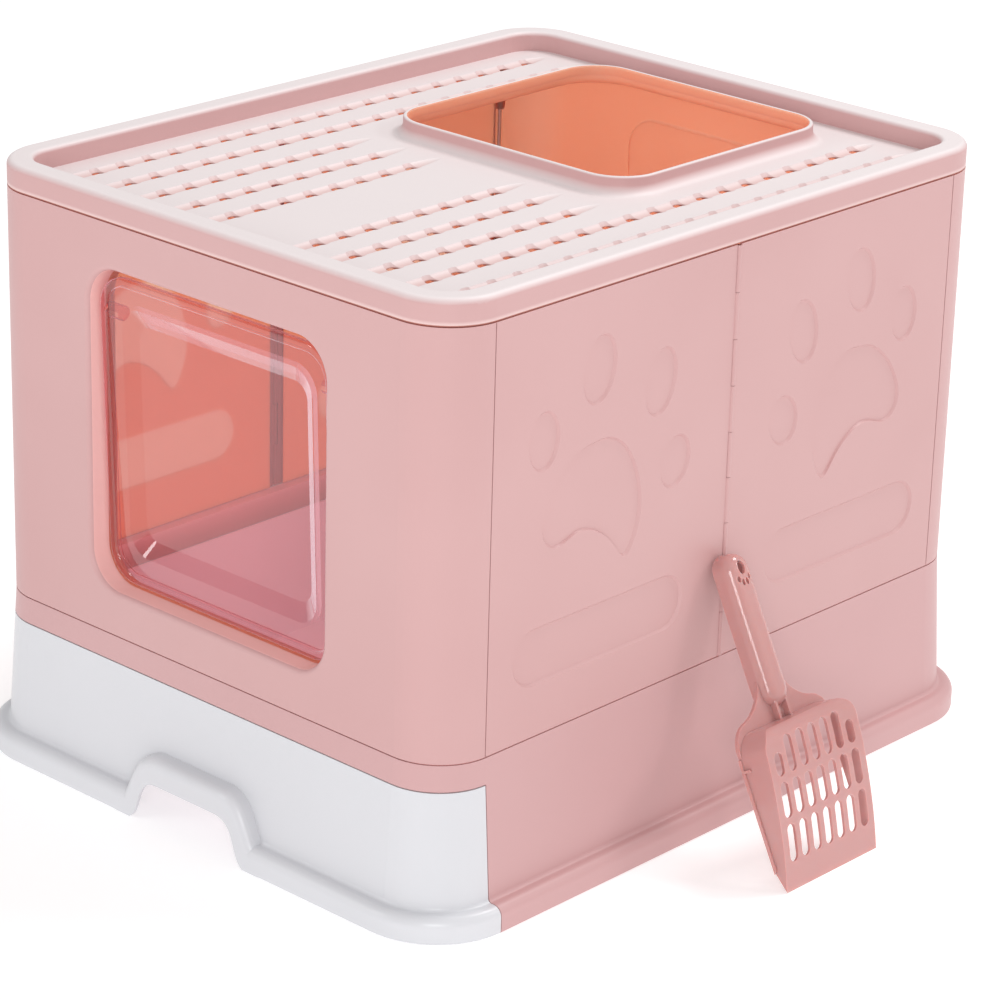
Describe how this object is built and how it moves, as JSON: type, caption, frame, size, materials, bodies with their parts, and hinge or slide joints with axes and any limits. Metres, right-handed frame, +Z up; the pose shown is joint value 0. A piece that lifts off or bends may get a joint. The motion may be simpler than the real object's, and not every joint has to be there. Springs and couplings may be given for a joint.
{
  "type": "cat litter box with hood",
  "caption": "Hooded cat litter box with a pull-out drawer, folding hinged hood, vented lid with a top entry, see-through flap door and slotted scoop.",
  "frame": {"origin": "on the floor, under the middle of the hood, on the base's flat underside", "axes": "+Z up; -Y towards the door and drawer front; +X towards the wall that the scoop leans on"},
  "size_m": [0.4924, 0.5054, 0.3735],
  "materials": {
    "blush_plastic": "satin moulded polypropylene, blush pink",
    "base_plastic": "satin moulded polypropylene, dusty pink",
    "lid_plastic": "satin moulded polypropylene, pale pink",
    "white_plastic": "satin moulded polypropylene, cool white",
    "clear_pink": "clear tinted, glossy",
    "scoop_plastic": "semi-gloss moulded, blush pink",
    "hinge_steel": "drawn wire"
  },
  "bodies": {
    "base": {"base_frame": "base_plastic"},
    "drawer": {"litter_drawer": "white_plastic"},
    "hood": {"back_panel": "blush_plastic", "right_rear_corner_rod": "hinge_steel", "left_rear_corner_rod": "hinge_steel"},
    "right_rear": {"right_rear_panel": "blush_plastic", "right_centre_rod": "hinge_steel"},
    "right_front": {"right_front_panel": "blush_plastic", "right_front_corner_rod": "hinge_steel"},
    "front": {"front_panel": "blush_plastic", "left_front_corner_rod": "hinge_steel"},
    "left_front": {"left_front_panel": "blush_plastic", "left_centre_rod": "hinge_steel"},
    "left_rear": {"left_rear_panel": "blush_plastic"},
    "flap": {"flap_door": "clear_pink"},
    "lid": {"lid": "lid_plastic"},
    "scoop": {"scoop": "scoop_plastic"}
  },
  "joints": [
    {"name": "drawer_slide", "type": "slide", "parent": "base", "child": "drawer", "axis": [0, -1, 0], "range_m": [0, 0.33]},
    {"name": "hood_lift", "type": "slide", "parent": "base", "child": "hood", "axis": [0, 0, 1], "range_m": [0, 0.15]},
    {"name": "hood_fold", "type": "hinge", "parent": "hood", "child": "right_rear", "pos_m": [0.183, 0.201, 0.104], "axis": [0, 0, -1], "range_deg": [0, 65]},
    {"name": "right_middle_hinge", "type": "hinge", "parent": "right_rear", "child": "right_front", "pos_m": [0.189, 0, 0.104], "axis": [0, 0, 1], "range_deg": [0, 131]},
    {"name": "right_front_hinge", "type": "hinge", "parent": "right_front", "child": "front", "pos_m": [0.183, -0.201, 0.104], "axis": [0, 0, -1], "range_deg": [0, 66]},
    {"name": "left_front_hinge", "type": "hinge", "parent": "front", "child": "left_front", "pos_m": [-0.183, -0.201, 0.104], "axis": [0, 0, -1], "range_deg": [0, 66]},
    {"name": "left_middle_hinge", "type": "hinge", "parent": "left_front", "child": "left_rear", "pos_m": [-0.189, 0, 0.104], "axis": [0, 0, 1], "range_deg": [0, 131]},
    {"name": "lid_lift", "type": "slide", "parent": "hood", "child": "lid", "axis": [0, 0, 1], "range_m": [0, 0.15]},
    {"name": "flap_swing", "type": "hinge", "parent": "front", "child": "flap", "pos_m": [0, -0.2216, 0.299], "axis": [-1, 0, 0], "range_deg": [-75, 80]},
    {"name": "scoop_lift", "type": "slide", "parent": "base", "child": "scoop", "axis": [0.6, 0, 0.8], "range_m": [0, 0.12]}
  ],
  "couplings": [
    {"joint": "right_middle_hinge", "follows": "hood_fold", "ratio": 2},
    {"joint": "right_front_hinge", "follows": "hood_fold", "ratio": 1},
    {"joint": "left_front_hinge", "follows": "hood_fold", "ratio": 1},
    {"joint": "left_middle_hinge", "follows": "hood_fold", "ratio": 2}
  ]
}
